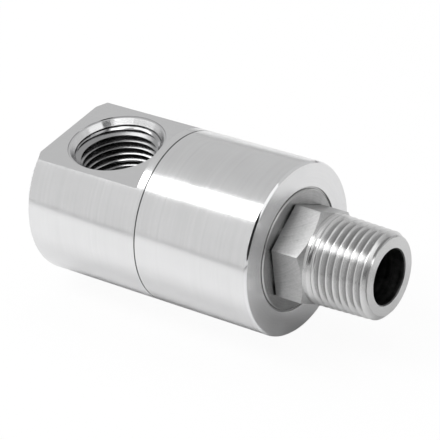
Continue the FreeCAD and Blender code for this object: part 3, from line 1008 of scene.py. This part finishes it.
# %% Tent and table
def mixed_value(tree, share, first, second):
    """first x (1 - share) + second x share. Each of the two is a number or a socket."""
    sides = {"A": first, "B": second}
    numbers = {key: side for key, side in sides.items() if isinstance(side, (int, float))}
    sockets = {key: side for key, side in sides.items() if key not in numbers}
    return node(tree, "Mix", numbers, {"Factor": share, **sockets}).outputs[0]


def ray_share(tree, camera, glossy, other):
    """One value for rays from the camera or through glass, one for mirror rays and one for the rest."""
    path = node(tree, "LightPath").outputs
    seen = math_of(tree, "MAXIMUM", path["Is Camera Ray"], path["Is Transmission Ray"])
    return mixed_value(tree, seen, mixed_value(tree, path["Is Glossy Ray"], other, glossy), camera)


world = bpy.data.worlds.new("tent")
bpy.context.scene.world = world
world.use_nodes = True
tent = world.node_tree
tent_back = tent.nodes["Background"]
tent_back.inputs["Color"].default_value = (1, 1, 1, 1)
tent_front_grey, tent_rear_grey, tent_dim = 0.80, 0.66, 0.16
table_seen, table_mirrored = 0.95, 0.03
toward = node(tent, "TexCoord").outputs["Generated"]
from_front = node(tent, "SeparateXYZ", links={0: toward}).outputs["Y"]
wall = mapped(tent, from_front, -0.5, 0.3, tent_front_grey, tent_rear_grey)
tent.links.new(ray_share(tent, 1.0, wall, tent_dim), tent_back.inputs["Strength"])

table_material, table_tree, table_shader = new_material("table_white", (0.9, 0.9, 0.9), 0.8, 0.0)
table_shader.inputs["Specular IOR Level"].default_value = 0.0
glow = node(table_tree, "Emission", {"Color": (1, 1, 1, 1), "Strength": 1.0})
white_share = ray_share(table_tree, table_seen, table_mirrored, 0.0)
blend = node(table_tree, "MixShader", links={0: white_share, 1: table_shader.outputs[0], 2: glow.outputs[0]})
table_tree.links.new(blend.outputs[0], table_tree.nodes["Material Output"].inputs["Surface"])


def flat_panel(name, width, height, place, material):
    """A rectangle about its own middle, put in its place, that is part of the stage."""
    corners = np.array([[-1, -1, 0], [1, -1, 0], [1, 1, 0], [-1, 1, 0]]) * [width / 2, height / 2, 0]
    mesh = bpy.data.meshes.new(name)
    mesh.from_pydata(corners.tolist(), [], [(0, 1, 2, 3)])
    mesh.materials.append(material)
    panel = bpy.data.objects.new(name, mesh)
    panel.matrix_world = place
    bpy.context.scene.collection.objects.link(panel)
    return panel


table_size = 6000
table_z = -body_r - 0.02
table_place = Matrix.Translation((0, 0, table_z * MM))
flat_panel("table", table_size * MM, table_size * MM, table_place, table_material)
print("table at", round(table_z, 2))

# %% [markdown]
# One long softbox over the union gives the bright band along the barrel and the nose. Two more fill the
# shadows from the front and the back, and mirror rays don't see them, so they add no bands of their own.

# %% Lamps
softbox_distance = 700


def strip_place(low, high, distance, x_from, x_to):
    """The place, width and length of a panel beside the axis that covers the angles from low to high above
    the front horizon, seen from the axis, and the stretch of x from x_from to x_to."""
    angle = math.radians((low + high) / 2)
    toward = np.array([0, -math.cos(angle), math.sin(angle)])
    along = np.array([1.0, 0, 0])
    across = np.cross(along, toward)
    centre = toward * distance + along * (x_from + x_to) / 2
    width = 2 * distance * math.tan(math.radians(high - low) / 2)
    place = Matrix(np.vstack([np.column_stack([across, along, toward, centre * MM]), [0, 0, 0, 1]]).tolist())
    return place, width * MM, (x_to - x_from) * MM


def softbox(name, panel, radiance, mirrored):
    """A panel of light, as bright as a white wall of the given radiance: its power is that times pi and its
    area."""
    place, width, length = panel
    lamp = bpy.data.lights.new(name, "AREA")
    lamp.shape = "RECTANGLE"
    lamp.size = width
    lamp.size_y = length
    lamp.energy = radiance * math.pi * width * length
    lit = bpy.data.objects.new(name, lamp)
    lit.matrix_world = place
    lit.visible_glossy = mirrored
    bpy.context.scene.collection.objects.link(lit)
    print(name, "power", round(lamp.energy, 2))


softbox("key_light", strip_place(60.6, 80.4, softbox_distance, -1000, 190), 3.2, True)
softbox("side_fill", strip_place(58, 78, softbox_distance, -1200, -150), 4.4, False)
softbox("back_fill", strip_place(100, 130, softbox_distance, -500, 700), 2.2, False)

# %% [markdown]
# What shapes bright steel is what it mirrors. Dark cloth stands where the photographer's camera and the gap
# behind the softbox are, and white paper where the steel is brightest, and a dark sheet on the table is a
# painted shadow of the nose. Only mirror rays meet these cards.
# A card is placed by what the union sees: the direction of its middle and how wide and high it looks.
# To find a direction, follow a line of sight from the camera to the steel and on, as a mirror would throw it.

# %% Cards
far_wall = 1500


def card(name, panel, grey, glow_strength):
    """A flat card of cloth or paper that only mirror rays meet."""
    place, width, height = panel
    paper, _, shader = new_material(name, (grey, grey, grey), 1.0, 0.0)
    shader.inputs["Emission Color"].default_value = (1, 1, 1, 1)
    shader.inputs["Emission Strength"].default_value = glow_strength
    sheet = flat_panel(name, width, height, place, paper)
    sheet.visible_camera = False
    sheet.visible_shadow = False
    sheet.visible_diffuse = False


def card_place(azimuth, elevation, distance, wide, high):
    """The place, width and height of a card that faces the nose: its middle by azimuth and elevation in
    degrees, and the whole angles that it covers each way."""
    turn, rise = math.radians(azimuth), math.radians(elevation)
    toward = Vector((math.cos(rise) * math.cos(turn), math.cos(rise) * math.sin(turn), math.sin(rise)))
    place = Matrix.Translation(toward * distance * MM) @ toward.to_track_quat("Z", "Y").to_matrix().to_4x4()
    width, height = (2 * distance * math.tan(math.radians(angle) / 2) * MM for angle in (wide, high))
    return place, width, height


# A dark sheet on the table that only mirror rays meet: a painted shadow of the nose, seen in the steel.
shadow_sheet_x, shadow_sheet_y, shadow_sheet_lift = 135, 12, 0.5
shadow_sheet_length, shadow_sheet_width, shadow_sheet_degrees = 150, 40, 5
shadow_sheet_middle = Matrix.Translation((shadow_sheet_x * MM, shadow_sheet_y * MM, (table_z + shadow_sheet_lift) * MM))
shadow_sheet_place = shadow_sheet_middle @ Matrix.Rotation(math.radians(shadow_sheet_degrees), 4, "Z")
cards = {
    "light_gap": (strip_place(59.5, 118.0, 720, 185, 300), 0.02, 0.0),
    "ceiling_card": (strip_place(59.5, 118.0, 730, 290, 1600), 0.0, 1.15),
    "camera_cloth": (card_place(-39, 23, 500, 28, 34), 0.02, 0.0),
    "camera_hood": (card_place(-34, 46, 500, 18, 18), 0.02, 0.0),
    "left_card": (card_place(-81, 38, far_wall, 38, 14), 0.0, 1.25),
    "right_card": (card_place(-1, 37, far_wall, 22, 14), 0.0, 1.25),
    "low_card": (card_place(-7, 3, 220, 24, 18), 0.0, 0.15),
    "bright_card": (card_place(24, 8, far_wall, 24, 16), 0.0, 1.5),
    "table_flag": ((shadow_sheet_place, shadow_sheet_length * MM, shadow_sheet_width * MM), 0.02, 0.0),
}
for name, (panel, grey, glow_strength) in cards.items():
    card(name, panel, grey, glow_strength)
bpy.context.scene.view_settings.view_transform = "Standard"
print("cards", len(cards))
